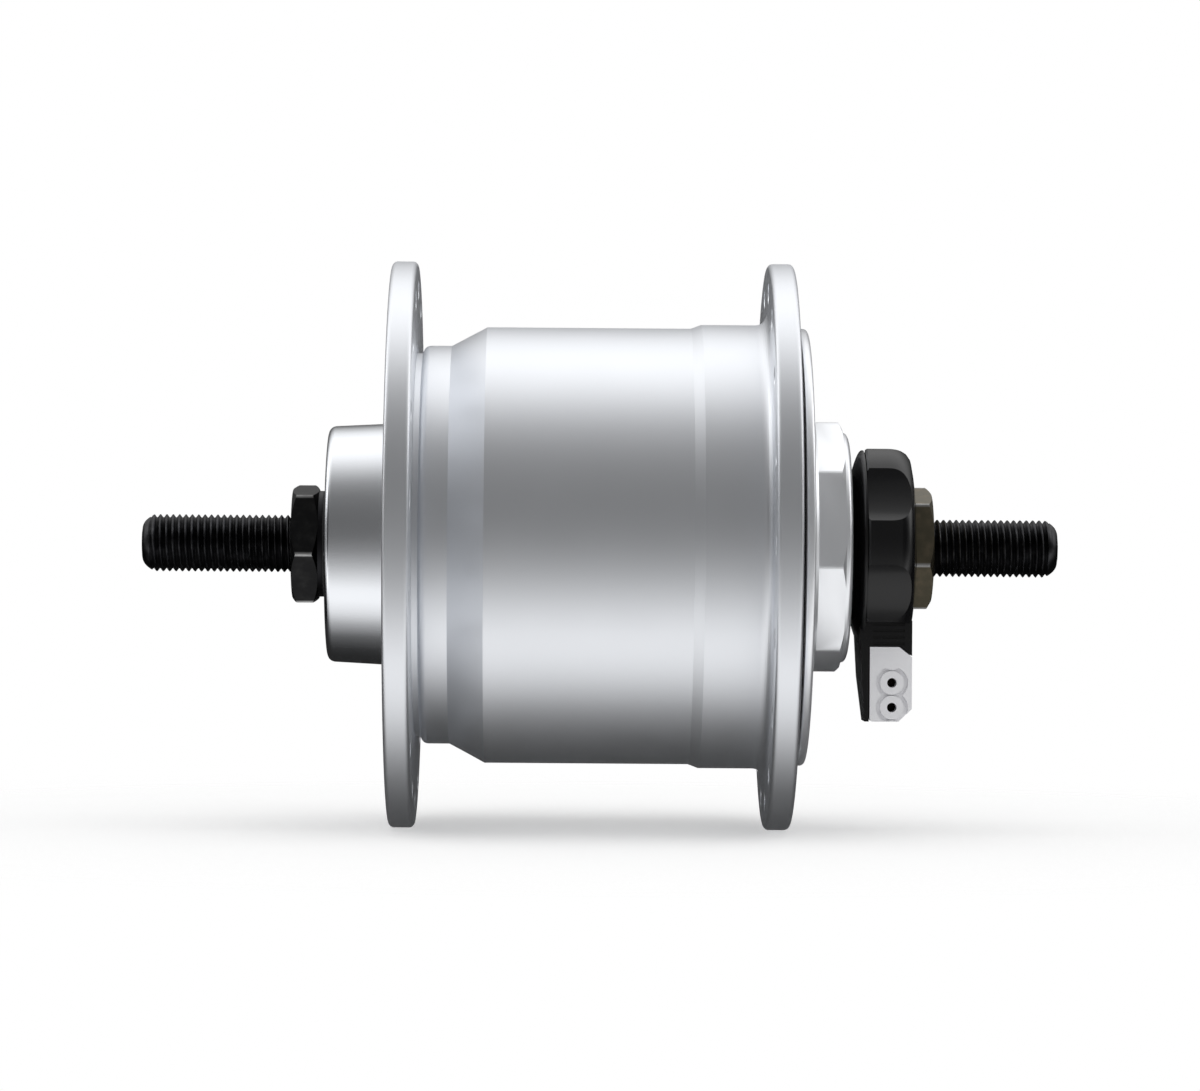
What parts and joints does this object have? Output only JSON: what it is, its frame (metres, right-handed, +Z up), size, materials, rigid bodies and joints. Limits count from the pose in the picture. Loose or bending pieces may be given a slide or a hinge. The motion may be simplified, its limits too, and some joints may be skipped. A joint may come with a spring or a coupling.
{
  "type": "hub dynamo",
  "caption": "Bicycle front hub with a built-in generator: a flanged silver shell turns on a threaded axle that carries a capped terminal with a pull-off wire connector.",
  "frame": {"origin": "on the axle's axis, in the plane of the left lock nut's outer face, where the left dropout rests", "axes": "+X along the axle towards the terminal side, +Z up with the terminal's arm hanging down, -Y towards the wire sockets' open side"},
  "size_m": [0.1434, 0.0886, 0.0886],
  "materials": {
    "shell_aluminium": "satin silver anodised, fine bead-blasted grain",
    "cover_aluminium": "satin silver anodised, turned",
    "axle_steel": "black oxide, lightly oiled",
    "black_nut_steel": "black oxide with bright worn corners",
    "bronze_nut_steel": "yellow-brown passivated steel, satin",
    "dark_washer_steel": "black oxide",
    "bearing_steel": "ground and polished",
    "cap_steel": "zinc plated, pressed",
    "seal_rubber": "matte black moulded",
    "cage_plastic": "natural moulded nylon",
    "pole_steel": "bare punched iron",
    "ring_iron": "bare turned iron",
    "magnet": "dark sintered ferrite",
    "bobbin_plastic": "cream moulded",
    "coil_copper": "enamelled copper wire",
    "wire_cover": "dark red insulation",
    "cap_plastic": "glossy black moulded",
    "housing_plastic": "semi-gloss black moulded",
    "connector_plastic": "light grey moulded, fine grain",
    "contact_brass": "plain brass"
  },
  "bodies": {
    "axle_assembly": {"axle": "axle_steel", "left_lock_nut": "black_nut_steel", "left_washer": "dark_washer_steel", "left_cone": "axle_steel", "left_dust_seal": "seal_rubber", "stator_core": "pole_steel", "left_claw_pole": "pole_steel", "right_claw_pole": "pole_steel", "coil_bobbin": "bobbin_plastic", "coil_winding": "coil_copper", "left_pole_nut": "cap_steel", "right_pole_nut": "cap_steel", "lead_wires": "wire_cover", "right_cone": "axle_steel", "right_dust_seal": "seal_rubber", "terminal_housing": "housing_plastic", "terminal_blades": "contact_brass", "terminal_cap": "cap_plastic", "right_washer": "dark_washer_steel", "right_lock_nut": "bronze_nut_steel"},
    "hub": {"hub_shell": "shell_aluminium", "left_bearing_cup": "bearing_steel", "left_dust_cap": "cap_steel", "back_iron_ring": "ring_iron", "magnet_segments": "magnet", "side_cover": "cover_aluminium", "cover_o_ring": "seal_rubber", "right_bearing_cup": "bearing_steel", "right_dust_cap": "cap_steel"},
    "left_ball_row": {"left_bearing_balls": "bearing_steel", "left_ball_cage": "cage_plastic"},
    "right_ball_row": {"right_bearing_balls": "bearing_steel", "right_ball_cage": "cage_plastic"},
    "connector": {"connector_block": "connector_plastic", "connector_contacts": "contact_brass"}
  },
  "joints": [
    {"name": "hub_spin", "type": "hinge", "parent": "axle_assembly", "child": "hub", "pos_m": [0.05, 0, 0], "axis": [1, 0, 0], "continuous": true},
    {"name": "left_balls_spin", "type": "hinge", "parent": "axle_assembly", "child": "left_ball_row", "pos_m": [0.01, 0, 0], "axis": [1, 0, 0], "continuous": true},
    {"name": "right_balls_spin", "type": "hinge", "parent": "axle_assembly", "child": "right_ball_row", "pos_m": [0.083, 0, 0], "axis": [1, 0, 0], "continuous": true},
    {"name": "connector_pull", "type": "slide", "parent": "axle_assembly", "child": "connector", "axis": [0, 0, -1], "range_m": [0, 0.01]}
  ],
  "couplings": [
    {"joint": "left_balls_spin", "follows": "hub_spin", "ratio": 0.5801},
    {"joint": "right_balls_spin", "follows": "hub_spin", "ratio": 0.5751}
  ]
}
